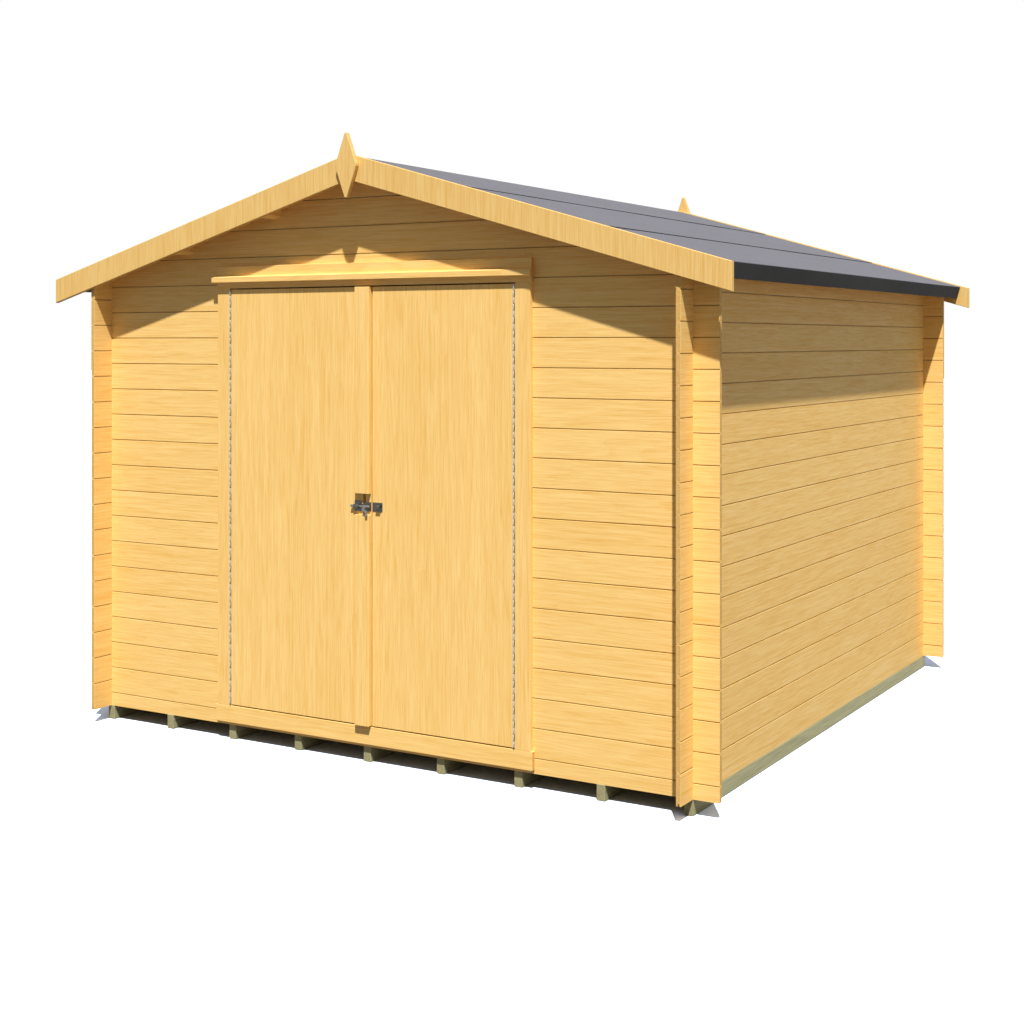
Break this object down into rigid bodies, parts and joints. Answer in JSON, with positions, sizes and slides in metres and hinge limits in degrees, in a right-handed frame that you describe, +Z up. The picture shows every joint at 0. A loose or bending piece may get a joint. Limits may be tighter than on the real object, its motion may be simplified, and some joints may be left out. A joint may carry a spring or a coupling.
{
  "type": "log cabin",
  "caption": "Square timber log cabin with interlocking corners, a low felted gable roof and outward-opening double doors with a sliding bolt.",
  "frame": {"origin": "on the ground, at the centre of the plan", "axes": "+Z up, the door wall faces -Y, +X to the right seen from the front"},
  "size_m": [3.182, 3.066, 2.4413],
  "materials": {
    "treated_bearer": "matte",
    "floor_board": "matte",
    "wall_log": "matte",
    "door_board": "matte",
    "frame_board": "matte",
    "roof_board": "matte",
    "barge_board": "matte",
    "roofing_felt": "matte",
    "zinc_steel": "satin",
    "bolt_steel": "satin"
  },
  "bodies": {
    "cabin": {"floor_bearers": "treated_bearer", "floor_boards": "floor_board", "left_wall": "wall_log", "right_wall": "wall_log", "front_base_log": "wall_log", "front_wall_left": "wall_log", "front_wall_right": "wall_log", "front_gable": "wall_log", "back_wall": "wall_log", "back_gable": "wall_log", "door_sill": "frame_board", "door_post_left": "frame_board", "door_post_right": "frame_board", "door_head": "frame_board", "drip_board": "frame_board", "ridge_purlin": "roof_board", "side_purlins": "roof_board", "roof_boards_left": "roof_board", "roof_boards_right": "roof_board", "eaves_boards": "roof_board", "felt_ridge": "roofing_felt", "felt_middle": "roofing_felt", "felt_lower": "roofing_felt", "bargeboards_left": "barge_board", "bargeboards_right": "barge_board", "finials": "barge_board", "frame_hinge_left": "zinc_steel", "frame_hinge_right": "zinc_steel"},
    "left_door": {"left_door_boards": "door_board", "left_door_ledges": "door_board", "left_door_braces": "door_board", "left_door_hinge": "zinc_steel", "cover_strip": "door_board", "bolt_guide": "bolt_steel"},
    "right_door": {"right_door_boards": "door_board", "right_door_ledges": "door_board", "right_door_braces": "door_board", "right_door_hinge": "zinc_steel", "bolt_keeper": "bolt_steel"},
    "bolt": {"bolt_bar": "bolt_steel"}
  },
  "joints": [
    {"name": "left_door_swing", "type": "hinge", "parent": "cabin", "child": "left_door", "pos_m": [-0.6825, -1.4165, 1], "axis": [0, 0, -1], "range_deg": [0, 120]},
    {"name": "right_door_swing", "type": "hinge", "parent": "cabin", "child": "right_door", "pos_m": [0.6825, -1.4165, 1], "axis": [0, 0, 1], "range_deg": [0, 120]},
    {"name": "bolt_slide", "type": "slide", "parent": "left_door", "child": "bolt", "axis": [1, 0, 0], "range_m": [0, 0.038]}
  ]
}
